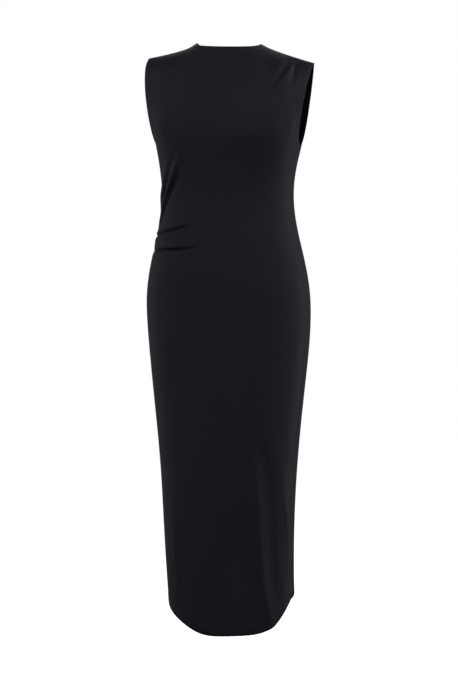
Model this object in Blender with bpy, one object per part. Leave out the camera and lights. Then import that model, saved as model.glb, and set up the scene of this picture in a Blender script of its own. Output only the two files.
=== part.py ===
"""Straight sleeveless maxi dress in jersey, standing in the hollow form it has when worn.

Two cut pieces, a front and a back panel, meet at the shoulder seams and the side seams.
The wearer faces -Y, with the left hand towards +X. The origin lies midway between the
two points where the neckline meets the shoulder seams, which is where the dress hangs.
Lengths are in millimetres until a point goes into a mesh, which is in metres.
"""

from collections import namedtuple
from math import cos, exp, pi, radians, sin

import bmesh
import bpy
import numpy as np
from mathutils import Vector

# Driving dimensions, in millimetres
LENGTH = 1346.0  # neck point to the lowest point of the hem, at the centres
WALL = 1.5
SEAM_GAP = 0.3
BUST_LINE = 240.0  # drop from the neck points to the underarm points
HIP_LINE = 600.0
NECK_HALF_WIDTH = 75.0

# Each panel has a flat chart. "across" runs from one side edge (-SPREAD) over the centre
# (0) to the other (SPREAD), and "down" from the top edge (0) to the hem.
SPREAD = 220.0
NECK_SHARE = 0.5  # the share of the top edge that is neckline: the rest is shoulder seam

# Level rings from the underarm to the hem. corner: how far a ring's corners stand out
# past an ellipse, as a share of its half width and depth.
Ring = namedtuple("Ring", "name drop centre half_width front back corner")
RINGS = (
    Ring("bust", 240, 0.0, 167.0, 129, 104, 0.16),
    Ring("under_bust", 290, -2.0, 157.5, 116, 98, 0.12),
    Ring("waist", 360, -4.0, 154.0, 107, 88, 0.08),
    Ring("high_hip", 450, -3.2, 166.5, 115, 106, 0.08),
    Ring("low_belly", 520, -2.8, 182.2, 121, 126, 0.09),
    Ring("hip", 600, -1.6, 190.7, 124, 136, 0.10),
    Ring("seat", 680, 0.0, 187.0, 124, 132, 0.10),
    Ring("thigh", 773, -0.4, 177.9, 121, 122, 0.09),
    Ring("knee", 957, -0.5, 159.5, 114, 110, 0.07),
    Ring("calf", 1141, 0.5, 150.0, 110, 104, 0.06),
    Ring("hem", 1346, 9.0, 144.0, 108, 102, 0.05),
)

# The hem is cut up towards the side seams: (degrees from the centre, drop), from the
# wearer's right to the left. The back hangs a little shorter than the front.
FRONT_HEM = (
    (-90, 1274), (-60, 1303), (-40, 1324.5), (-20, 1345), (3, LENGTH),
    (28, 1343), (50, 1323), (70, 1284), (90, 1255),
)
BACK_HEM = ((-90, 1274), (-45, 1308), (0, 1324), (45, 1298), (90, 1255))

# Where each shoulder seam ends, over the arm, by the side's sign. tilt shapes the seam:
# under 1 it falls fastest next to the neck.
Shoulder = namedtuple("Shoulder", "tip_x tip_drop tilt")
SHOULDERS = {-1: Shoulder(189.0, 28.5, 0.57), 1: Shoulder(198.5, 51.5, 0.82)}
NECK_TILT = 3.6  # the wearer's left neck point lies this far down, the right as far up
NECK_ROUND = 0.8  # under 1, the neckline is flatter in the middle than an ellipse

# The cloth rolls over the shoulder and falls from the neckline: the points that pull the
# top edge forwards and backwards, from one armhole (-1) over the centre (0) to the other.
Roll = namedtuple("Roll", "share x front front_drop back back_drop")
ROLLS = (
    Roll(-1.00, -207, 40, 48, 36, 46),
    Roll(-0.75, -152, 58, 30, 52, 28),
    Roll(-0.50, -100, 74, 26, 64, 24),
    Roll(-0.25, -58, 92, 55, 74, 45),
    Roll(0.00, 0, 101, 82, 80, 66),
    Roll(0.25, 58, 92, 56, 74, 46),
    Roll(0.50, 100, 74, 33, 64, 31),
    Roll(0.75, 150, 57, 43, 52, 41),
    Roll(1.00, 195, 40, 59, 36, 58),
)

# facing: -1 towards the front. neck_depth and neck_drop: the middle of the neckline.
# armhole: how far the armhole edge sweeps in front of the side seam.
# columns: (from, to, number) of the mesh, in degrees from the panel's centre. Those over
# the shoulder seams are the same on both panels, so that the seams meet.
# body_rows: the number of the mesh's rows from the bust to BODY_LINE. The front has more,
# for its tucks.
Panel = namedtuple(
    "Panel", "name facing neck_depth neck_drop armhole hem columns body_rows"
)
PANELS = (
    Panel(
        "front_panel", -1, neck_depth=80.0, neck_drop=20.0, armhole=98.0,
        hem=FRONT_HEM, columns=((-90, -45, 8), (-45, 45, 10), (45, 90, 8)), body_rows=22,
    ),
    Panel(
        "back_panel", 1, neck_depth=62.0, neck_drop=14.0, armhole=78.0,
        hem=BACK_HEM, columns=((-90, -45, 8), (-45, 45, 6), (45, 90, 8)), body_rows=11,
    ),
)
CHEST_RISE = 65.0  # how far above the underarm the bust ring's own slope carries on
CHEST_CUT, CHEST_POWER = 0.9, 8  # the share of that rise lost at the side seams
ARMHOLE_POWER = 1.8  # how tightly an armhole's sweep keeps to the side seam

# Rows of the mesh: (from, to, number), as drops. From the hip each column has its own
# rows, shared out down to the hem.
YOKE_ROWS = ((0.0, 48.0, 4), (48.0, 180.0, 6), (180.0, BUST_LINE, 4))
BODY_LINE = 500.0
BELLY_ROWS = ((BODY_LINE, HIP_LINE, 3),)
SKIRT_ROWS = 12

# Folds of the front panel, on its chart: a quadratic curve through start, bend and end.
# height is outwards, so a trough has a negative one. It fades to nothing at the end.
Fold = namedtuple("Fold", "name start bend end width height")
FOLDS = (
    Fold("side_tuck_roll", (-222, 384), (-160, 350), (-96, 248), 9.0, 4.5),
    Fold("side_tuck_hollow", (-222, 402), (-140, 362), (-92, 272), 9.0, -4.0),
    Fold("side_tuck_back", (-222, 352), (-168, 330), (-118, 246), 9.0, -3.0),
    Fold("upper_waist_tuck", (-224, 436), (-140, 424), (-44, 404), 8.0, -4.5),
    Fold("between_waist_tucks", (-224, 454), (-150, 442), (-60, 430), 12.0, 2.5),
    Fold("lower_waist_tuck", (-224, 473), (-130, 470), (-26, 462), 8.0, -4.5),
    Fold("shoulder_gather_inner", (150, -6), (140, 24), (112, 70), 8.0, -2.5),
    Fold("shoulder_gather_middle", (175, -6), (166, 40), (142, 96), 8.0, -3.5),
    Fold("shoulder_gather_outer", (192, -6), (188, 40), (176, 104), 8.0, -3.0),
    Fold("skirt_fold", (62, 930), (84, 1100), (100, 1330), 16.0, 4.0),
    Fold("skirt_hollow", (40, 1080), (52, 1200), (58, 1340), 22.0, -5.0),
)
FOLD_SAMPLES = 24
FADE_IN, FADE_OUT = 0.4, 0.5  # shares of a fold's length over which it comes and goes

JERSEY_COLOUR = (0.0110, 0.0106, 0.0137, 1)
JERSEY_ROUGHNESS = 0.6
SHARP_EDGE = 50.0  # degrees: edges that turn more than this are shaded sharp
SMALL_TURN = 0.01  # radians: the step that a ring's direction is read over
METRES = 0.001


def natural_spline(xs, ys):
    """The natural cubic spline through the points, as a function of x."""
    xs, ys = np.array(xs, float), np.array(ys, float)
    step, rise = np.diff(xs), np.diff(ys)
    matrix = np.eye(len(xs))
    right = np.zeros(len(xs))
    for i in range(1, len(xs) - 1):
        matrix[i, i - 1 : i + 2] = step[i - 1], 2 * (step[i - 1] + step[i]), step[i]
        right[i] = 3 * (rise[i] / step[i] - rise[i - 1] / step[i - 1])
    bend = np.linalg.solve(matrix, right)

    def value(x):
        i = int(np.clip(np.searchsorted(xs, x) - 1, 0, len(step) - 1))
        slope = rise[i] / step[i] - step[i] * (2 * bend[i] + bend[i + 1]) / 3
        third = (bend[i + 1] - bend[i]) / (3 * step[i])
        t = x - xs[i]
        return float(ys[i] + t * (slope + t * (bend[i] + t * third)))

    return value


RING_VALUES = {
    column: natural_spline([r.drop for r in RINGS], [getattr(r, column) for r in RINGS])
    for column in ("centre", "half_width", "front", "back", "corner")
}


def ring_point(panel, angle, drop):
    """The point at this angle from the panel's centre on the level ring."""
    depth = RING_VALUES["front" if panel.facing < 0 else "back"](drop)
    corner = RING_VALUES["corner"](drop)
    across = sin(angle) * (1 + corner * cos(angle) ** 2)
    outwards = cos(angle) * (1 + corner * sin(angle) ** 2)
    x = RING_VALUES["centre"](drop) + RING_VALUES["half_width"](drop) * across
    return Vector((x, panel.facing * depth * outwards, -drop))


ROLL_VALUES = {
    column: natural_spline([r.share for r in ROLLS], [getattr(r, column) for r in ROLLS])
    for column in ("x", "front", "front_drop", "back", "back_drop")
}
HEM_VALUES = {
    panel.name: natural_spline([a for a, _ in panel.hem], [drop for _, drop in panel.hem])
    for panel in PANELS
}


def top_edge(panel, share):
    """The neckline's or shoulder seam's point at this share, -1 to 1, of the top edge."""
    if abs(share) <= NECK_SHARE:
        turn = share / NECK_SHARE * pi / 2
        return Vector((
            NECK_HALF_WIDTH * sin(turn),
            panel.facing * panel.neck_depth * cos(turn),
            -panel.neck_drop * max(cos(turn), 0) ** NECK_ROUND - NECK_TILT * sin(turn),
        ))
    side = -1 if share < 0 else 1
    shoulder = SHOULDERS[side]
    along = (abs(share) - NECK_SHARE) / (1 - NECK_SHARE)
    neck_drop = side * NECK_TILT
    return Vector((
        side * (NECK_HALF_WIDTH + (shoulder.tip_x - NECK_HALF_WIDTH) * along),
        0,
        -neck_drop - (shoulder.tip_drop - neck_drop) * along**shoulder.tilt,
    ))


def yoke_point(panel, share, down):
    """A cubic curve from the top edge, over the shoulder and chest, to the bust ring."""
    view = "front" if panel.facing < 0 else "back"
    roll = Vector((
        ROLL_VALUES["x"](share),
        panel.facing * ROLL_VALUES[view](share),
        -ROLL_VALUES[view + "_drop"](share),
    ))
    angle = share * pi / 2
    side = -1 if share < 0 else 1
    ring = ring_point(panel, angle, BUST_LINE)
    upwards = ring - ring_point(panel, angle, BUST_LINE + 1)
    beside = ring_point(panel, angle - side * SMALL_TURN, BUST_LINE)
    inwards = (beside - ring).normalized()
    chest = ring + upwards * CHEST_RISE * (1 - CHEST_CUT * abs(share) ** CHEST_POWER)
    chest += inwards * panel.armhole * abs(share) ** ARMHOLE_POWER
    t = down / BUST_LINE
    weights = ((1 - t) ** 3, 3 * t * (1 - t) ** 2, 3 * t * t * (1 - t), t**3)
    points = (top_edge(panel, share), roll, chest, ring)
    return sum((point * weight for point, weight in zip(points, weights)), Vector())


def panel_point(panel, across, down):
    """The outer face of a panel, without its folds, at a point of its chart."""
    share = across / SPREAD
    if down < BUST_LINE:
        return yoke_point(panel, share, down)
    return ring_point(panel, share * pi / 2, down)


def smooth_step(t):
    t = min(max(t, 0), 1)
    return t * t * (3 - 2 * t)


def fold_curve(fold):
    """Points along the fold, with the share of its height at each."""
    points = []
    for i in range(FOLD_SAMPLES + 1):
        t = i / FOLD_SAMPLES
        point = [
            (1 - t) ** 2 * a + 2 * t * (1 - t) * b + t * t * c
            for a, b, c in zip(fold.start, fold.bend, fold.end)
        ]
        strength = smooth_step((1 - t) / FADE_OUT) * smooth_step(t / FADE_IN)
        points.append((*point, strength))
    return np.array(points)


FOLD_CURVES = [(fold, fold_curve(fold)) for fold in FOLDS]


def fold_height(across, down):
    """How far the folds lift or sink the front panel at a point of its chart."""
    total = 0.0
    for fold, curve in FOLD_CURVES:
        distance = np.hypot(curve[:, 0] - across, curve[:, 1] - down)
        nearest = int(distance.argmin())
        bell = exp(-0.5 * (distance[nearest] / fold.width) ** 2)
        total += fold.height * curve[nearest, 2] * bell
    return total


def spaced(stretches):
    """The ends and steps of stretches given as (from, to, number)."""
    values = [stretches[0][0]]
    for start, end, number in stretches:
        values += [start + (end - start) * (i + 1) / number for i in range(number)]
    return values


def chart_rows(panel, share):
    """The drops of a column's points, from the top edge to the hem."""
    body = ((BUST_LINE, BODY_LINE, panel.body_rows),)
    skirt = ((HIP_LINE, HEM_VALUES[panel.name](share * 90), SKIRT_ROWS),)
    return spaced(YOKE_ROWS + body + BELLY_ROWS + skirt)


def jersey():
    material = bpy.data.materials.new("black_jersey")
    material.use_nodes = True
    shader = material.node_tree.nodes["Principled BSDF"]
    shader.inputs["Base Color"].default_value = JERSEY_COLOUR
    shader.inputs["Roughness"].default_value = JERSEY_ROUGHNESS
    shader.inputs["Metallic"].default_value = 0.0
    return material


def build_panel(panel, material):
    """A sheet on the panel's chart, folded, then thickened inwards into a closed wall."""
    columns = [angle / 90 for angle in spaced(panel.columns)]
    rows = [chart_rows(panel, share) for share in columns]
    bm = bmesh.new()
    # create_grid numbers its vertices row by row, from the lowest x.
    bmesh.ops.create_grid(
        bm, x_segments=len(columns) - 1, y_segments=len(rows[0]) - 1, size=1
    )
    bm.faces.ensure_lookup_table()
    chart = []
    for index, vert in enumerate(bm.verts):
        row, column = divmod(index, len(columns))
        across, down = columns[column] * SPREAD, rows[column][row]
        chart.append((across, down))
        vert.co = panel_point(panel, across, down)
    bm.normal_update()
    middle = bm.faces[len(bm.faces) // 2]
    if middle.normal.y * panel.facing < 0:
        bmesh.ops.reverse_faces(bm, faces=bm.faces)
    bm.normal_update()
    if panel.facing < 0:
        for vert, (across, down) in zip(bm.verts, chart):
            vert.co += vert.normal * fold_height(across, down)
    bmesh.ops.solidify(bm, geom=bm.faces[:], thickness=WALL)
    # Every four-sided face is cut along the same diagonal, so that no fold zigzags.
    bmesh.ops.triangulate(bm, faces=bm.faces[:], quad_method="FIXED")
    # Both panels end at the seam plane, y = 0, each half a gap away from it.
    for vert in bm.verts:
        vert.co.y = panel.facing * max(vert.co.y * panel.facing, SEAM_GAP / 2)
        vert.co *= METRES
    mesh = bpy.data.meshes.new(panel.name)
    bm.to_mesh(mesh)
    bm.free()
    mesh.materials.append(material)
    mesh.shade_smooth()
    mesh.set_sharp_from_angle(angle=radians(SHARP_EDGE))
    obj = bpy.data.objects.new(panel.name, mesh)
    bpy.context.collection.objects.link(obj)
    return obj


def main():
    for obj in list(bpy.data.objects):
        bpy.data.objects.remove(obj)
    material = jersey()
    for panel in PANELS:
        build_panel(panel, material)


main()
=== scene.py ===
# %% [markdown]
# # A straight maxi dress in black jersey
# The real dress is two cut pieces of knitted jersey, a front and a back, sewn together at
# the shoulders and down the sides, with every free edge turned in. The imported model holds
# its size and its worn form as two closed walls. They stay as they are for the physics,
# and each gets a thin shell of cloth on its outer face here, which is what shows.

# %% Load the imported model
import math
from collections import deque, namedtuple

import bmesh
import bpy
import numpy as np
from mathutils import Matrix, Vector
from mathutils.bvhtree import BVHTree


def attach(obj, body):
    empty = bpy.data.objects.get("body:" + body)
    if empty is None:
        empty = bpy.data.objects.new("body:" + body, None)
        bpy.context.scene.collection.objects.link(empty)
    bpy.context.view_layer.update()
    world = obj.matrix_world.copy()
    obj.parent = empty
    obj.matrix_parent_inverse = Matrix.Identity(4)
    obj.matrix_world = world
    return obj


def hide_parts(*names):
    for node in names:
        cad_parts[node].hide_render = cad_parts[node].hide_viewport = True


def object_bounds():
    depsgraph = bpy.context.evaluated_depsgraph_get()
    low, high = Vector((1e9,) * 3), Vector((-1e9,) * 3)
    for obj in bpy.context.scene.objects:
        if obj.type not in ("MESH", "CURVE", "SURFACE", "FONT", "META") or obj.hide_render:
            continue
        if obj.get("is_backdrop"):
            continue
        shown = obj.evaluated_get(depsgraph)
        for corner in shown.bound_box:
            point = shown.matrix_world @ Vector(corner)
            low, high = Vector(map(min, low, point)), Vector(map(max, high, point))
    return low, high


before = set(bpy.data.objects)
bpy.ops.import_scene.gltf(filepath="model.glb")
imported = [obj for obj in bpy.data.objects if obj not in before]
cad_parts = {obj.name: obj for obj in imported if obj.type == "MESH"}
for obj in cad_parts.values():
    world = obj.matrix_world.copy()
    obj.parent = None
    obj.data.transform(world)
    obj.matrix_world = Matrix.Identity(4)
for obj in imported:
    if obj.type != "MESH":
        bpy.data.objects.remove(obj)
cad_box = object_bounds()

MM = 0.001


def in_mm(place):
    return [round(v / MM, 1) for v in place]


print("packed model, mm:", [in_mm(corner) for corner in cad_box])

# %% [markdown]
# ## Camera
# The camera stands far enough away that the hem isn't seen from above, a little to one
# side of the front, upright and level. A lens is easier to choose as the height that fills
# the picture at the dress than as a focal length, so the focal length is worked out from
# that height. Lengths are in metres from here on, unless a name or a comment says
# otherwise.

# %% Camera
CAMERA_TURN = math.radians(11)  # from straight in front towards the wearer's left
CAMERA_DISTANCE = 4.0
SEEN_HEIGHT = 1.5824
BELOW_MIDDLE = 0.0195  # how far below the middle of the dress the camera aims
SENSOR_HEIGHT = 24.0  # in millimetres, as camera makers give it
UPRIGHT = math.radians(90)

middle = (cad_box[0] + cad_box[1]) / 2
aim = Vector((0, 0, middle.z - BELOW_MIDDLE))


def around(turn, rise, distance):
    """The point at this distance from the dress, turned round it from the front."""
    level = math.cos(rise)
    towards = Vector((math.sin(turn) * level, -math.cos(turn) * level, math.sin(rise)))
    return aim + towards * distance


camera = bpy.data.objects.new("camera", bpy.data.cameras.new("camera"))
bpy.context.scene.collection.objects.link(camera)
bpy.context.scene.camera = camera
camera.location = around(CAMERA_TURN, 0, CAMERA_DISTANCE)
camera.rotation_euler = (UPRIGHT, 0, CAMERA_TURN)
camera.data.sensor_fit = "VERTICAL"
camera.data.sensor_height = SENSOR_HEIGHT
camera.data.lens = SENSOR_HEIGHT * CAMERA_DISTANCE / SEEN_HEIGHT
print("focal length, mm:", round(camera.data.lens, 2))

# %% [markdown]
# ## Colours and shader nodes
# Cloth colours are read off a screen or a colour card as sRGB hex values, but a shader
# works in linear light, so one function turns the first into the second. Another adds a
# node with its settings and links, which keeps each material readable as a recipe.

# %% A colour from its hex value
SRGB_TOE, SRGB_SLOPE, SRGB_OFFSET, SRGB_POWER = 0.04045, 12.92, 0.055, 2.4


def linear(hex_colour):
    """The linear RGBA of an sRGB colour such as "1B1A1F"."""
    shares = [int(hex_colour[i : i + 2], 16) / 255 for i in (0, 2, 4)]
    light = [
        s / SRGB_SLOPE
        if s <= SRGB_TOE
        else ((s + SRGB_OFFSET) / (1 + SRGB_OFFSET)) ** SRGB_POWER
        for s in shares
    ]
    return (*light, 1)


WHITE = linear("FFFFFF")
print("white in linear light:", WHITE)


# %% A node with its settings and links
def add_node(tree, kind, settings=None, links=None):
    """A node of this kind. A setting goes to the socket of its name, or else to the node's
    own property, and a link joins a socket to another node's output. A socket that shares
    its name with others goes by its number."""
    made = tree.nodes.new(kind)
    for name, value in (settings or {}).items():
        if isinstance(name, int) or name in made.inputs:
            made.inputs[name].default_value = value
        else:
            setattr(made, name, value)
    for name, output in (links or {}).items():
        tree.links.new(output, made.inputs[name])
    return made


# %% [markdown]
# ## Studio
# The dress stands before plain white: a pale floor that runs out under a white sky. White
# all round would light a black cloth as grey, so the camera sees the white, and the cloth
# sees a dim room with large soft lights in it, as it would between black flags.

# %% White to the camera, dim to the cloth
SKY_LIGHT = 1.0
ROOM_LIGHT = 0.015

world = bpy.data.worlds.new("studio")
bpy.context.scene.world = world
world.use_nodes = True
sky = world.node_tree
sky.nodes.clear()
seen = add_node(sky, "ShaderNodeLightPath")
dim = add_node(sky, "ShaderNodeBackground", {"Color": WHITE, "Strength": ROOM_LIGHT})
bright = add_node(sky, "ShaderNodeBackground", {"Color": WHITE, "Strength": SKY_LIGHT})
mixed = add_node(
    sky, "ShaderNodeMixShader",
    links={0: seen.outputs["Is Camera Ray"], 1: dim.outputs[0], 2: bright.outputs[0]},
)
add_node(sky, "ShaderNodeOutputWorld", links={"Surface": mixed.outputs[0]})
bpy.context.scene.view_settings.view_transform = "Standard"
print("the cloth sees", ROOM_LIGHT / SKY_LIGHT, "of the white that the camera sees")

# %% Floor
FLOOR_DROP = 0.155
FLOOR_RADIUS = 9.0
FLOOR_SIDES = 96
FLOOR_GLOW = 1.0


def new_object(name, bm):
    """The finished bmesh as an object at the origin."""
    mesh = bpy.data.meshes.new(name)
    bm.to_mesh(mesh)
    bm.free()
    made = bpy.data.objects.new(name, mesh)
    bpy.context.scene.collection.objects.link(made)
    return made


# Pale matte paint, as on a studio's floor. It glows, so that no shadow greys it.
floor_paint = bpy.data.materials.new("pale floor paint")
floor_paint.use_nodes = True
floor_nodes = floor_paint.node_tree
floor_nodes.nodes.clear()
paint = add_node(
    floor_nodes, "ShaderNodeBsdfPrincipled",
    {
        "Base Color": linear("F4F4F4"), "Roughness": 0.9, "Specular IOR Level": 0.0,
        "Emission Color": WHITE, "Emission Strength": FLOOR_GLOW,
    },
)
add_node(floor_nodes, "ShaderNodeOutputMaterial", links={"Surface": paint.outputs[0]})

bm = bmesh.new()
bmesh.ops.create_circle(bm, cap_ends=True, segments=FLOOR_SIDES, radius=FLOOR_RADIUS)
bmesh.ops.translate(bm, verts=bm.verts, vec=(0, 0, cad_box[0].z - FLOOR_DROP))
floor = new_object("floor", bm)
floor.data.materials.append(floor_paint)
floor.visible_diffuse = False
floor.visible_glossy = False
floor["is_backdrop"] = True
print("floor at z =", round(cad_box[0].z - FLOOR_DROP, 3))

# %% [markdown]
# ## Soft lights
# Black cloth shows its form only by what it reflects. A ring of tall softboxes stands
# round the dress, so that each turn of the cloth catches one of them in a soft band, and
# a second ring higher up lights what faces upwards: the shoulders, the top of the bust
# and the hips. The lights at the sides and behind are the strong ones, which draws the
# pale edges along the two sides of the dress.

# %% Two rings of softboxes
Softbox = namedtuple("Softbox", "name turn rise distance width height watts")
# Turn and rise are in degrees, from the front and from level.
SOFTBOXES = (
    Softbox("front_softbox", 11, 0, 2.6, 0.8, 2.6, 4.4),
    Softbox("front_left_softbox", -29, 0, 2.6, 0.8, 2.6, 4.6),
    Softbox("left_softbox", -69, 0, 2.6, 0.8, 2.6, 5.2),
    Softbox("back_left_softbox", -109, 0, 2.6, 0.8, 2.6, 6.6),
    Softbox("front_right_softbox", 65, 0, 2.6, 1.2, 2.6, 9.6),
    Softbox("right_softbox", 122, 0, 2.6, 0.8, 2.6, 11.0),
    Softbox("front_top_softbox", 11, 45, 2.8, 1.2, 1.2, 5.8),
    Softbox("front_left_top_softbox", -39, 45, 2.8, 1.2, 1.2, 3.2),
    Softbox("left_top_softbox", -89, 45, 2.8, 1.2, 1.2, 3.4),
    Softbox("front_right_top_softbox", 61, 45, 2.8, 1.2, 1.2, 3.6),
    Softbox("right_top_softbox", 111, 45, 2.8, 1.2, 1.2, 9.0),
    Softbox("back_top_softbox", 191, 45, 2.8, 1.4, 1.4, 12.0),
    Softbox("back_softbox", 171, 0, 2.6, 0.8, 2.6, 4.0),
    Softbox("far_left_softbox", -149, 0, 2.6, 0.8, 2.6, 4.0),
)
COOL_WHITE = linear("F5F4FF")

for box in SOFTBOXES:
    light = bpy.data.lights.new(box.name, "AREA")
    light.shape = "RECTANGLE"
    light.size, light.size_y = box.width, box.height
    light.energy = box.watts
    light.color = COOL_WHITE[:3]
    lamp = bpy.data.objects.new(box.name, light)
    lamp.location = around(math.radians(box.turn), math.radians(box.rise), box.distance)
    lamp.rotation_euler = (aim - lamp.location).to_track_quat("-Z", "Y").to_euler()
    bpy.context.scene.collection.objects.link(lamp)
print(len(SOFTBOXES), "softboxes,", round(sum(box.watts for box in SOFTBOXES), 1), "W in all")

# %% [markdown]
# ## The cloth's own surface
# Each packed panel is a closed wall 1.5 mm thick. The cloth shell starts from that wall's
# outer face, so that it can't be the wrong size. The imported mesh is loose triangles, so a
# copy is merged, its thin rim is cut away, the inner face is dropped, and the triangles
# are joined back into the even four-sided grid that a smooth cloth needs.

# %% Parts of a mesh that hang together
def loose_parts(bm):
    """The faces of each part that hangs together, as lists."""
    found = set()
    for first in bm.faces:
        if first in found:
            continue
        found.add(first)
        part, queue = [], deque([first])
        while queue:
            face = queue.popleft()
            part.append(face)
            for beside in (f for edge in face.edges for f in edge.link_faces):
                if beside not in found:
                    found.add(beside)
                    queue.append(beside)
        yield part


# %% Which way a panel's faces look
def looks_out(faces, facing):
    """Whether these faces of a panel look out of the dress. facing is -1 for the front
    panel, since the front is towards -Y, and 1 for the back."""
    return sum(face.normal.y * face.calc_area() for face in faces) * facing > 0


# %% The diagonal of each triangle
def diagonals(bm):
    """The edges that cut the grid's four-sided faces in two. All are drawn the same way,
    so from one triangle the next one's diagonal follows: an edge shared by two triangles
    is either the diagonal of both, or the diagonals leave it at its two ends."""
    first = max(bm.faces, key=lambda face: face.calc_area())
    found = {first: max(first.edges, key=lambda edge: edge.calc_length())}
    queue = deque([first])
    while queue:
        face = queue.popleft()
        diagonal = found[face]
        for edge in face.edges:
            for beside in edge.link_faces:
                if beside in found:
                    continue
                if edge is diagonal:
                    found[beside] = edge
                else:
                    near = next(v for v in edge.verts if v in diagonal.verts)
                    far = edge.other_vert(near)
                    found[beside] = next(
                        e for e in beside.edges if e is not edge and far in e.verts
                    )
                queue.append(beside)
    return [edge for edge in dict.fromkeys(found.values()) if len(edge.link_faces) == 2]


# %% The outer face of a panel
MERGE = 0.01 * MM  # points closer than this are one point
RIM_EDGE = 3 * MM  # only the rim's faces, which lie across the wall, have a shorter side


def outer_face(node, facing):
    """The outer face of a packed panel as a bmesh of four-sided faces."""
    bm = bmesh.new()
    bm.from_mesh(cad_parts[node].data)
    bmesh.ops.remove_doubles(bm, verts=bm.verts, dist=MERGE)
    rim = [f for f in bm.faces if min(e.calc_length() for e in f.edges) < RIM_EDGE]
    bmesh.ops.delete(bm, geom=rim, context="FACES")
    parts = [part for part in loose_parts(bm) if not looks_out(part, facing)]
    bmesh.ops.delete(bm, geom=[face for part in parts for face in part], context="FACES")
    bmesh.ops.dissolve_edges(bm, edges=diagonals(bm))
    sides = {len(face.verts) for face in bm.faces}
    print(node, "grid:", len(bm.faces), "faces with", sides, "sides")
    return bm


# %% [markdown]
# ## Smooth cloth
# The grid is subdivided so that it curves like cloth. Its corners, where an edge of the
# cut piece changes from neckline to shoulder seam and from armhole to side seam, would be
# rounded off, so they are marked as sharp points first. Every seam lies in one plane,
# halfway between front and back, which makes its points easy to tell.

# %% Sharp corners of the cut piece
NECK_POINT = 75 * MM
UNDERARM_DROP = 240 * MM
SEAM_PLANE = 1 * MM


def on_seam(place):
    return abs(place[1]) < SEAM_PLANE


def mark_corners(bm):
    """Marks the neck points and underarm points, which stay sharp when subdivided."""
    sharp = bm.verts.layers.float.new("crease_vert")
    rim = [v for v in bm.verts if v.is_boundary and on_seam(v.co)]
    for side in (-1, 1):
        neck = min(rim, key=lambda v: (v.co - Vector((side * NECK_POINT, 0, 0))).length)
        underarm = min(
            (v for v in rim if v.co.x * side > 0),
            key=lambda v: abs(v.co.z + UNDERARM_DROP),
        )
        for vert in (neck, underarm):
            vert[sharp] = 1
            print("  corner at", in_mm(vert.co))


# %% Subdivide
def subdivided(cage, levels):
    """The cage's cloth, subdivided this many times, as a bmesh."""
    modifier = cage.modifiers.get("smooth") or cage.modifiers.new("smooth", "SUBSURF")
    modifier.levels = modifier.render_levels = levels
    modifier.boundary_smooth = "PRESERVE_CORNERS"
    smooth = cage.evaluated_get(bpy.context.evaluated_depsgraph_get())
    bm = bmesh.new()
    bm.from_mesh(smooth.to_mesh())
    smooth.to_mesh_clear()
    return bm


# %% [markdown]
# ## Creases
# Cloth that is pulled into a seam runs away from it in creases: a narrow hollow with a
# soft roll beside it. Each crease here is a line drawn on the dress as seen straight from
# the front or the back, pressed in or lifted with a bell-shaped section, and fading at its
# ends. This keeps every crease where a maker would put it, which a cloth simulation of a
# dress without its wearer can't do. Sizes are in millimetres: a line is points across and
# up, a width is the bell's, and a height is out of the cloth or, below nought, into it.
# The fades are the shares of the line over which it starts and ends.

# %% Creases of the bodice
Crease = namedtuple("Crease", "name width height fades line")
BODICE_CREASES = (
    Crease("right side of the bust", 18.0, 4.0, (0.5, 0.45),
           ((-148, -146), (-143, -170), (-140, -190), (-139, -208), (-135, -226),
            (-131, -242))),
    Crease("left side of the bust", 10.0, 1.6, (0.5, 0.45),
           ((162, -160), (159, -185), (156, -208), (150, -238))),
    Crease("bust roll", 3.0, 4.6, (0.45, 0.1),
           ((-90, -261), (-99, -276), (-107, -292), (-122, -328), (-137, -364),
            (-149, -394))),
    Crease("hollow in front of the bust roll", 3.3, -7.0, (0.55, 0.06),
           ((-80, -272), (-100, -308), (-114, -332), (-131, -362), (-144, -390),
            (-156, -418))),
    Crease("hollow behind the bust roll", 4.0, -4.8, (0.7, 0.2),
           ((-98, -252), (-117, -284), (-129, -310), (-143, -345), (-151, -372))),
    Crease("upper waist tuck", 2.2, -7.0, (0.36, 0.6),
           ((-190, -448), (-162, -442), (-149, -439), (-113, -433), (-75, -426),
            (-26, -420))),
    Crease("roll over the upper tuck", 4.6, 3.0, (0.45, 0.7),
           ((-190, -441), (-162, -436), (-149, -431), (-113, -423), (-75, -417),
            (-45, -413))),
    Crease("roll under the upper tuck", 5.0, 1.4, (0.45, 0.6),
           ((-190, -458), (-162, -455), (-149, -450), (-113, -442), (-75, -435),
            (-50, -431))),
    Crease("lower waist tuck", 2.2, -8.4, (0.36, 0.6),
           ((-190, -474), (-162, -477), (-149, -477), (-92, -478), (-63, -476),
            (-12, -472))),
    Crease("roll over the lower tuck", 5.0, 2.2, (0.45, 0.6),
           ((-190, -464), (-162, -467), (-149, -467), (-92, -468), (-63, -466),
            (-32, -464))),
    Crease("roll under the lower tuck", 5.0, 1.4, (0.45, 0.6),
           ((-190, -484), (-162, -487), (-149, -487), (-92, -488), (-63, -486),
            (-36, -484))),
    Crease("inner shoulder gather", 4.0, -0.9, (0.3, 0.6),
           ((124, -30), (113, -42), (104, -54), (94, -70))),
    Crease("middle shoulder gather", 4.0, -1.9, (0.1, 0.4),
           ((148, -42), (142, -56), (137, -70), (132, -82), (126, -93), (120, -104),
            (104, -128))),
    Crease("outer shoulder gather", 4.0, -1.8, (0.1, 0.4),
           ((157, -40), (157, -50), (159, -70), (159, -86), (158, -96), (155, -108),
            (148, -132))),
    Crease("roll between middle and outer", 5.5, 1.6, (0.2, 0.4),
           ((156, -40), (153, -57), (150, -66), (147, -76), (143, -87), (139, -97),
            (134, -108), (124, -130))),
)

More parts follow.
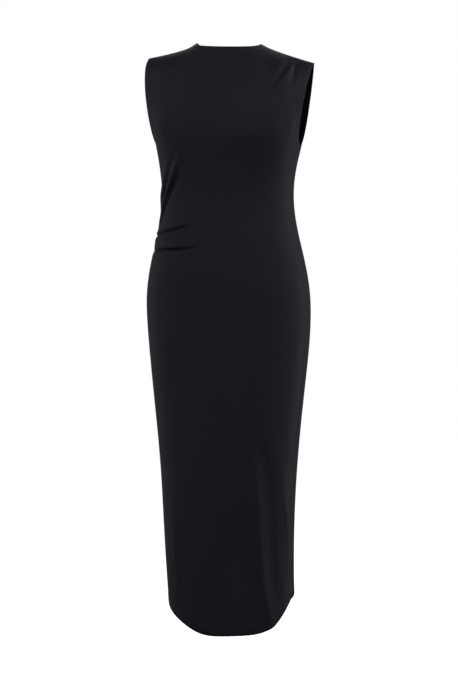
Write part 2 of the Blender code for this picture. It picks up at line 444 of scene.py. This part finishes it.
# %% Creases of the skirt
SKIRT_CREASES = (
    Crease("skirt fold", 8.0, 3.2, (0.45, 0.02),
           ((66, -870), (73, -927), (79, -971), (83, -1016), (85, -1061), (87, -1106),
            (89, -1151), (92, -1196), (97, -1241), (104, -1286), (112, -1325),
            (118, -1360))),
    Crease("crest of the skirt fold", 3.6, 0.6, (0.5, 0.3),
           ((83, -1016), (85, -1061), (87, -1106), (89, -1151), (92, -1196), (97, -1241),
            (104, -1286), (112, -1325))),
    Crease("hollow in front of the fold", 22.0, -4.6, (0.45, 0.02),
           ((46, -940), (50, -1010), (50, -1090), (52, -1162), (60, -1245), (66, -1345),
            (68, -1375))),
    Crease("hollow behind the fold", 11.0, -5.4, (0.3, 0.2),
           ((86, -880), (94, -927), (102, -972), (109, -1017), (112, -1070), (114, -1152),
            (115, -1197), (118, -1242), (124, -1300))),
    Crease("outer roll of the fold", 7.0, 2.2, (0.3, 0.3),
           ((133, -1000), (140, -1064), (143, -1110), (143, -1155), (143, -1200),
            (140, -1250))),
    Crease("roll at the left side", 7.0, 0.6, (0.35, 0.5),
           ((118, -900), (128, -950), (138, -1005), (145, -1060), (147, -1120))),
    Crease("faint fold at the right knee", 5.0, 1.3, (0.45, 0.45),
           ((-36, -1112), (-39, -1141), (-46, -1180), (-52, -1221), (-55, -1262))),
    Crease("faint hollow at the right knee", 12.0, -1.8, (0.45, 0.3),
           ((-66, -1100), (-72, -1146), (-81, -1189), (-89, -1246), (-94, -1300))),
    Crease("faint roll at the right side", 8.0, 1.6, (0.4, 0.4),
           ((-120, -1010), (-116, -1070), (-110, -1150), (-102, -1235), (-98, -1290))),
)
FRONT_CREASES = BODICE_CREASES + SKIRT_CREASES

# %% Creases of the back
BACK_CREASES = (
    Crease("upper waist tuck", 2.4, -3.6, (0.25, 0.7),
           ((-190, -448), (-162, -445), (-140, -445), (-108, -447), (-66, -450))),
    Crease("roll over the upper tuck", 5.0, 1.6, (0.1, 0.75),
           ((-190, -440), (-162, -436), (-140, -436), (-108, -438), (-70, -441))),
    Crease("lower waist tuck", 2.4, -3.8, (0.25, 0.7),
           ((-190, -474), (-162, -473), (-140, -471), (-100, -468), (-60, -468))),
    Crease("roll over the lower tuck", 5.0, 1.5, (0.1, 0.7),
           ((-190, -465), (-162, -464), (-140, -462), (-100, -459), (-64, -459))),
    Crease("hollow of the back, upper", 8.0, -2.2, (0.4, 0.4),
           ((-82, -384), (-40, -394), (10, -398), (62, -392), (100, -380))),
    Crease("hollow of the back, lower", 7.0, -1.8, (0.4, 0.4),
           ((-60, -420), (-10, -430), (40, -428), (96, -416))),
    Crease("roll between the hollows", 7.0, 1.2, (0.4, 0.4),
           ((-74, -402), (-20, -412), (30, -413), (84, -402))),
    Crease("pull from the right armhole", 5.5, -2.8, (0.3, 0.5),
           ((-156, -262), (-136, -296), (-112, -334), (-84, -372))),
    Crease("pull from the left armhole", 6.0, -2.2, (0.3, 0.5),
           ((154, -266), (136, -302), (112, -340), (90, -368))),
    Crease("inner shoulder gather", 4.0, -1.8, (0.1, 0.7),
           ((141, -30), (130, -50), (118, -74), (104, -98))),
    Crease("middle shoulder gather", 3.0, -2.6, (0.1, 0.6),
           ((163, -36), (154, -58), (144, -82), (134, -108))),
    Crease("hollow under the seat", 20.0, -1.6, (0.4, 0.4),
           ((-88, -742), (-50, -764), (-8, -768), (40, -760), (86, -740))),
    Crease("left skirt fold", 9.0, 4.4, (0.45, 0.02),
           ((62, -880), (76, -980), (86, -1090), (92, -1200), (96, -1350))),
    Crease("hollow in the left skirt", 13.0, -5.0, (0.45, 0.02),
           ((34, -900), (44, -1010), (52, -1120), (58, -1230), (62, -1350))),
    Crease("right skirt fold", 9.0, 3.6, (0.45, 0.02),
           ((-70, -940), (-84, -1040), (-92, -1150), (-97, -1250), (-100, -1350))),
    Crease("hollow in the right skirt", 12.0, -4.2, (0.45, 0.02),
           ((-38, -960), (-52, -1060), (-60, -1160), (-64, -1260), (-66, -1350))),
)
print(len(FRONT_CREASES), "creases in front,", len(BACK_CREASES), "behind")


# %% A smooth line
CORNER_CUT = 0.25
CUT_ROUNDS = 3


def smooth_line(points):
    """The line with its corners cut until it is a curve, its ends kept."""
    line = np.array(points, float)
    for _ in range(CUT_ROUNDS):
        near = line[:-1] * (1 - CORNER_CUT) + line[1:] * CORNER_CUT
        far = line[:-1] * CORNER_CUT + line[1:] * (1 - CORNER_CUT)
        corners = np.stack([near, far], axis=1).reshape(-1, line.shape[1])
        line = np.vstack([line[:1], corners, line[-1:]])
    return line


drawn = FRONT_CREASES[0].line
print(len(drawn), "points drawn make a line of", len(smooth_line(drawn)))

# %% A line laid on the cloth
HEM_TOP = -1.2  # below this height an open edge or a missed place belongs to the skirt's hem


def laid_on(skin, line, facing):
    """The line, seen from the front or back, laid on the skin. A place beyond the side
    comes to lie on the side seam, and below the hem the line runs straight on."""
    laid = []
    depth = 0
    for x, z in smooth_line(line) * MM:
        hit = skin.ray_cast(Vector((x, facing, z)), Vector((0, -facing, 0)))[0]
        if hit:
            depth = hit.y
        elif z < HEM_TOP:
            hit = Vector((x, depth, z))
        else:
            hit = skin.find_nearest(Vector((x, 0, z)))[0]
        laid.append(hit)
    return np.array(laid)


# %% How far points are from a line
def away_from(line, points, reach):
    """For each point, its distance from the line and how far along the line it is. Points
    farther away than reach are left out, with an endless distance."""
    steps = np.linalg.norm(np.diff(line, axis=0), axis=1)
    along = np.concatenate([[0], np.cumsum(steps)]) / steps.sum()
    distance = np.full(len(points), np.inf)
    share = np.zeros(len(points))
    low, high = line.min(axis=0) - reach, line.max(axis=0) + reach
    inside = np.flatnonzero(((points > low) & (points < high)).all(axis=1))
    close = points[inside]
    for i, step in enumerate(steps):
        if step == 0:
            continue
        run = (line[i + 1] - line[i]) / step
        t = np.clip((close - line[i]) @ run, 0, step)
        gap = np.linalg.norm(close - line[i] - t[:, None] * run, axis=1)
        closer = gap < distance[inside]
        distance[inside[closer]] = gap[closer]
        share[inside[closer]] = along[i] + (along[i + 1] - along[i]) * t[closer] / step
    return distance, share


# %% [markdown]
# ## The hems
# Every open edge of a jersey dress is hemmed: a narrow strip at the neckline and the
# armholes, and a deeper one round the skirt, is turned under and stitched down. From
# outside it shows as a slightly raised band, two layers of cloth thick, with a faint
# groove where the stitches pull it down. The creases and these bands are pressed into the
# cloth together, and it stays still at the seams, where front and back have to meet.

# %% Hems
Hem = namedtuple("Hem", "places turned")
NARROW_HEM = 9 * MM
SKIRT_HEM = 20 * MM
PLACES_APART = 3  # every third point of the rim is enough for the hem's line


def hems_of(bm):
    """The open edges that aren't seams, each as a line of places with the depth of its
    hem."""
    rim = [edge for edge in bm.edges if edge.is_boundary]
    beside = {}
    for edge in rim:
        if not all(on_seam(vert.co) for vert in edge.verts):
            for vert in edge.verts:
                beside.setdefault(vert, []).append(edge)
    lines = []
    for start in [vert for vert, edges in beside.items() if len(edges) == 1]:
        if any(start is line[-1] for line in lines):
            continue
        line, edge = [start], beside[start][0]
        while edge:
            line.append(edge.other_vert(line[-1]))
            edge = next((e for e in beside[line[-1]] if e is not edge), None)
        lines.append(line)
    hems = []
    for line in lines:
        places = np.array([vert.co for vert in line[:-1:PLACES_APART] + line[-1:]])
        hems.append(Hem(places, SKIRT_HEM if places[:, 2].max() < HEM_TOP else NARROW_HEM))
    return hems


# %% Finer mesh beside the creases and hems
FINE_REACH = 2.4  # in widths of the crease, to either side of its line
FINE_EDGE = 0.85  # the longest edge there, in widths of the crease
FINE_ROUNDS = 3
HEM_BAND = 3 * MM  # to either side of a hem's stitches, with no edge longer than this


def refine(bm, creases, lines, hems):
    """Cuts the faces beside the narrow creases and the hems' stitches smaller."""
    for _ in range(FINE_ROUNDS):
        bm.faces.ensure_lookup_table()
        centres = np.array([face.calc_center_median() for face in bm.faces])
        longest = np.array([max(e.calc_length() for e in f.edges) for f in bm.faces])
        wanted = np.zeros(len(centres), bool)
        for crease, line in zip(creases, lines):
            width = crease.width * MM
            distance = away_from(line, centres, FINE_REACH * width + longest.max())[0]
            near = distance < FINE_REACH * width + longest / 2
            wanted |= near & (longest > FINE_EDGE * width)
        for hem in hems:
            distance = away_from(hem.places, centres, hem.turned + HEM_BAND)[0]
            near = np.abs(distance - hem.turned) < HEM_BAND + longest / 2
            wanted |= near & (longest > HEM_BAND)
        # Each edge once, and in the same order at each run.
        edges = [edge for i in np.flatnonzero(wanted) for edge in bm.faces[i].edges]
        bmesh.ops.subdivide_edges(
            bm, edges=list(dict.fromkeys(edges)), cuts=1, use_grid_fill=True
        )


# %% Press the creases and hems in
BELL_END = 4.8  # past this many widths a bell is as good as flat
SEAM_CALM = 9 * MM
HEM_RISE = 0.45 * MM
HEM_GROOVE = 0.35 * MM
STITCH_WIDTH = 1.4 * MM
ARMHOLE_ROLL = 2.0 * MM
ARMHOLE_REACH = 11 * MM
NECK_REACH = 90 * MM  # a narrow hem that runs farther out than this is an armhole's


def smooth_step(t):
    t = np.clip(t, 0, 1)
    return t * t * (3 - 2 * t)


def bell(distance, width):
    return np.exp(-0.5 * (distance / width) ** 2)


def press(bm, creases, lines, hems):
    """Moves the cloth in or out along its normals. The armholes' edges roll in a little
    besides, as a stretched jersey edge does."""
    points = np.array([v.co for v in bm.verts])
    lift = np.zeros(len(points))
    for crease, line in zip(creases, lines):
        width = crease.width * MM
        distance, share = away_from(line, points, BELL_END * width)
        fade_in, fade_out = crease.fades
        fade = smooth_step(share / fade_in) * smooth_step((1 - share) / fade_out)
        lift += crease.height * MM * fade * bell(distance, width)
    for hem in hems:
        distance = away_from(hem.places, points, 2 * hem.turned)[0]
        # The band is halfway up at its stitches.
        lift += HEM_RISE * smooth_step((hem.turned - distance) / HEM_BAND + 0.5)
        lift -= HEM_GROOVE * bell(distance - hem.turned, STITCH_WIDTH)
        if hem.turned == NARROW_HEM and abs(hem.places[:, 0]).max() > NECK_REACH:
            lift -= ARMHOLE_ROLL * smooth_step(1 - distance / ARMHOLE_REACH)
    lift *= smooth_step(np.abs(points[:, 1]) / SEAM_CALM)
    bm.normal_update()
    for vert, height in zip(bm.verts, lift):
        vert.co += vert.normal * height


# %% [markdown]
# ## Turned edges
# A cut edge of jersey never shows on a finished dress: at the seams the allowance is
# turned in, and at the hems the hem. Both show as a soft rounded edge, twice the cloth
# thick. The rim of the skin is extruded round a small half circle, and then back along
# the inside of the skin.

# %% Into the piece from its rim
LONGEST = 2.0  # at a sharp corner the way in is lengthened at most this many times


def inwards(vert):
    """Along the skin from a rim point into the piece, longer where the rim turns."""
    rims = [edge for edge in vert.link_edges if edge.is_boundary]
    ways = []
    for edge in rims:
        face = edge.link_faces[0]
        way = (edge.verts[1].co - edge.verts[0].co).cross(face.normal).normalized()
        midpoint = (edge.verts[0].co + edge.verts[1].co) / 2
        if way.dot(face.calc_center_median() - midpoint) < 0:
            way.negate()
        ways.append(way)
    both = (ways[0] + ways[1]).normalized()
    return both / max(both.dot(ways[0]), 1 / LONGEST)


# %% Turn the edges under
FOLD_RADIUS = 0.9 * MM  # so that two layers of cloth fit in the fold
FOLD_STEPS = 4
SEAM_TIGHT = 0.25 * MM  # how far a seam closes the gap between front and back
ALLOWANCE = 10 * MM
ALLOWANCE_STEPS = 3
HEM_FACING = 0.6  # the skirt's hem turns upwards, and the side seams' allowance doesn't


def next_row(bm, rim, start):
    """Extrudes the rim. Gives the new rim, and for each of its points what start holds
    for the point that it grew from."""
    made = bmesh.ops.extrude_edge_only(bm, edges=rim)["geom"]
    grown = {}
    for vert in (g for g in made if isinstance(g, bmesh.types.BMVert)):
        beside = (edge.other_vert(vert) for edge in vert.link_edges)
        grown[vert] = start[next(v for v in beside if v in start)]
    edges = (g for g in made if isinstance(g, bmesh.types.BMEdge))
    return [edge for edge in edges if edge.is_boundary], grown


def turn_under(bm):
    """Turns every rim of the skin under: round the fold, and then back along the inside
    of the skin, as deep as the hem or the seam's allowance."""
    bm.normal_update()
    skin = BVHTree.FromBMesh(bm)
    rim = [edge for edge in bm.edges if edge.is_boundary]
    start = {}
    for vert in dict.fromkeys(v for edge in rim for v in edge.verts):
        inward = inwards(vert)
        tight = SEAM_TIGHT if on_seam(vert.co) else 0
        start[vert] = (vert.co - inward * tight, vert.normal.copy(), inward)
    for vert, (place, normal, inward) in start.items():
        vert.co = place + inward * FOLD_RADIUS
    for step in range(FOLD_STEPS):
        turn = math.pi * (step + 1) / FOLD_STEPS
        out, down = 1 - math.sin(turn), 1 - math.cos(turn)
        rim, start = next_row(bm, rim, start)
        for vert, (place, normal, inward) in start.items():
            vert.co = place + (inward * out - normal * down) * FOLD_RADIUS
    for step in range(ALLOWANCE_STEPS):
        rim, start = next_row(bm, rim, start)
        for vert, (place, normal, inward) in start.items():
            at_hem = place.z < HEM_TOP and inward.z > HEM_FACING
            deep = (SKIRT_HEM if at_hem else ALLOWANCE) * (step + 1) / ALLOWANCE_STEPS
            near, out = skin.find_nearest(place + inward * (FOLD_RADIUS + deep))[:2]
            vert.co = near - out * 2 * FOLD_RADIUS


# %% [markdown]
# ## Black matte jersey
# Jersey is a knitted cloth of fine polyester or viscose yarn with elastane. Its face is
# columns of small V-shaped stitches, which spread the light softly: near black face on,
# with a satin lift where the cloth turns away. The stitches are drawn along the flat
# pattern of each piece, so they run with its grain: one wave makes the columns, called
# wales, and another, bent into a zigzag, makes the rows, called courses. The real ones are
# about 1 mm and 0.75 mm apart, and are drawn twice as coarse so that they can show at all.

# %% Black jersey
WALE = 2.0 * MM
COURSE = 1.5 * MM
WAVE_PERIOD = math.pi / 10  # how far apart the bands of a wave texture are at scale 1
STITCH_DEPTH = 0.15 * MM
STITCH_RELIEF = 0.2
PATCHES = 9.0  # soft uneven patches of dye, to the metre
MIX_A, MIX_B = 6, 7  # the numbers of a mix node's two colour sockets
MIXED_COLOUR = 2

# Fine jersey, dyed a cool black, matte with a slight satin lift.
jersey = bpy.data.materials.new("black matte jersey")
jersey.use_nodes = True
tree = jersey.node_tree
tree.nodes.clear()
pattern = add_node(tree, "ShaderNodeUVMap", {"uv_map": "cut"})
across_and_up = add_node(tree, "ShaderNodeSeparateXYZ", links={0: pattern.outputs[0]})
across, up = across_and_up.outputs["X"], across_and_up.outputs["Y"]
zigzag = add_node(
    tree, "ShaderNodeMath", {"operation": "PINGPONG", 1: WALE / 2}, links={0: across}
)
leg = add_node(
    tree, "ShaderNodeMath", {"operation": "ADD"}, links={0: up, 1: zigzag.outputs[0]}
)
stitch = add_node(tree, "ShaderNodeCombineXYZ", links={"X": across, "Y": leg.outputs[0]})
courses = add_node(
    tree, "ShaderNodeTexWave",
    {"Scale": WAVE_PERIOD / COURSE, "bands_direction": "Y"},
    links={"Vector": stitch.outputs[0]},
)
wales = add_node(
    tree, "ShaderNodeTexWave",
    {"Scale": WAVE_PERIOD / WALE, "bands_direction": "X"},
    links={"Vector": stitch.outputs[0]},
)
stitches = add_node(
    tree, "ShaderNodeMath", {"operation": "MULTIPLY"},
    links={0: courses.outputs["Fac"], 1: wales.outputs["Fac"]},
)
bump = add_node(
    tree, "ShaderNodeBump", {"Strength": STITCH_RELIEF, "Distance": STITCH_DEPTH},
    links={"Height": stitches.outputs[0]},
)
on_dress = add_node(tree, "ShaderNodeTexCoord")
patches = add_node(
    tree, "ShaderNodeTexNoise", {"Scale": PATCHES, "Detail": 3.0, "Roughness": 0.5},
    links={"Vector": on_dress.outputs["Object"]},
)
black = add_node(
    tree, "ShaderNodeMix",
    {"data_type": "RGBA", MIX_A: linear("1A181F"), MIX_B: linear("1D1B22")},
    links={0: patches.outputs["Fac"]},
)
cloth = add_node(
    tree, "ShaderNodeBsdfPrincipled",
    {"Roughness": 0.62, "Specular IOR Level": 0.5, "Specular Tint": linear("F5F3FF")},
    links={"Base Color": black.outputs[MIXED_COLOUR], "Normal": bump.outputs[0]},
)
add_node(tree, "ShaderNodeOutputMaterial", links={"Surface": cloth.outputs[0]})
print(jersey.name, "has", len(tree.nodes), "nodes")

# %% [markdown]
# ## Laying a piece flat
# The stitches need to know where each place of a worn piece lies in its flat pattern, and
# the maker needs the pattern's size. Jersey stretches, so the piece is laid out as if it
# were peeled off a drum and let go: each side and diagonal of its faces is a spring that
# pulls back to its worn length, until the sheet lies calm.

# %% Lay a piece flat
DRUM = 150 * MM  # its radius, about the body's
DRUM_AXIS = 25 * MM  # how far the drum's axis lies behind the seams, seen from this piece
SPRING_ROUNDS = 3000
SPRING_PULL = 0.9
SPRING_GLIDE = 0.9
SHARES = (0.02, 0.5, 0.98)  # of the springs, to print how true the layout is


def springs(mesh):
    """The sides and diagonals of the faces, as pairs of vertices."""
    pairs = {tuple(edge.vertices) for edge in mesh.edges}
    for face in mesh.polygons:
        a, b, c, d = face.vertices
        pairs |= {(a, c), (b, d)}
    return np.array(sorted(pairs))


def lay_flat(cage, facing):
    """Lays the sheet out like its paper pattern, with a metre of cloth to a unit. Gives
    its size and its area."""
    mesh = cage.data
    worn = np.array([v.co for v in mesh.vertices])
    near, far = springs(mesh).T
    length = np.linalg.norm(worn[far] - worn[near], axis=1)
    turned = np.arctan2(-facing * worn[:, 0], np.abs(worn[:, 1]) + DRUM_AXIS)
    flat = np.stack([turned * DRUM, worn[:, 2]], axis=1)
    count = len(flat)
    springs_at = np.bincount(near, minlength=count) + np.bincount(far, minlength=count)
    glide = np.zeros_like(flat)
    for _ in range(SPRING_ROUNDS):
        apart = flat[far] - flat[near]
        now = np.linalg.norm(apart, axis=1)
        pull = apart * ((now - length) / now / 2)[:, None]
        for axis in (0, 1):
            pulled = np.bincount(near, pull[:, axis], count)
            pulled -= np.bincount(far, pull[:, axis], count)
            glide[:, axis] = SPRING_GLIDE * glide[:, axis] + SPRING_PULL * pulled / springs_at
        flat += glide
    stretch = np.linalg.norm(flat[far] - flat[near], axis=1) / length
    places = mesh.uv_layers.new(name="cut").data
    for loop in mesh.loops:
        places[loop.index].uv = flat[loop.vertex_index]
    size = [float(v) for v in np.ptp(flat, axis=0)]
    area = sum(face.area for face in mesh.polygons)
    print("  flat cut, m:", [round(v, 3) for v in size], "area", round(area, 3))
    print("  drawn size over worn size:", np.quantile(stretch, SHARES).round(3))
    return size, area


# %% [markdown]
# ## Cut and sew the two pieces
# Front and back are made the same way, each from its own panel: the sheet is laid flat,
# smoothed, cut finer where it is creased, pressed, turned under at its edges, and given
# the thickness of jersey towards the inside. Shading it smooth hides the mesh.

# %% One piece
SKIN_LEVELS = 4  # of subdivision, for the surface that the cloth is laid on
SHEET_LEVELS = 1  # for the sheet itself, which is cut finer where it needs to be
CLOTH = 0.7 * MM


def sew(name, node, facing, creases):
    """One piece of the dress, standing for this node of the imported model."""
    bm = outer_face(node, facing)
    mark_corners(bm)
    cage = new_object(name + "_cage", bm)
    size, area = lay_flat(cage, facing)
    finest = subdivided(cage, SKIN_LEVELS)
    skin = BVHTree.FromBMesh(finest)
    finest.free()
    lines = [laid_on(skin, crease.line, facing) for crease in creases]
    bm = subdivided(cage, SHEET_LEVELS)
    bpy.data.objects.remove(cage)
    refine(bm, creases, lines, hems_of(bm))
    for vert in bm.verts:
        vert.co = skin.find_nearest(vert.co)[0]
    hems = hems_of(bm)
    for hem in hems:
        length = np.linalg.norm(np.diff(hem.places, axis=0), axis=1).sum()
        print("  hem, mm:", round(length / MM), "long,", round(hem.turned / MM), "deep")
    press(bm, creases, lines, hems)
    turn_under(bm)
    bmesh.ops.recalc_face_normals(bm, faces=bm.faces)
    bm.normal_update()
    if not looks_out(bm.faces, facing):
        bmesh.ops.reverse_faces(bm, faces=bm.faces)
    for face in bm.faces:
        face.smooth = True
    piece = new_object(name, bm)
    piece.data.materials.append(jersey)
    wall = piece.modifiers.new("cloth", "SOLIDIFY")
    wall.thickness = CLOTH
    wall.offset = -1
    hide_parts(node)
    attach(piece, "root")
    print(name, "has", len(piece.data.polygons), "faces")


sew("front", "front_panel", -1, FRONT_CREASES)
sew("back", "back_panel", 1, BACK_CREASES)

# %% Sizes and finish
new_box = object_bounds()
[[list(corner) for corner in box] for box in (cad_box, new_box)]
print("visible model, mm:", [in_mm(corner) for corner in new_box])
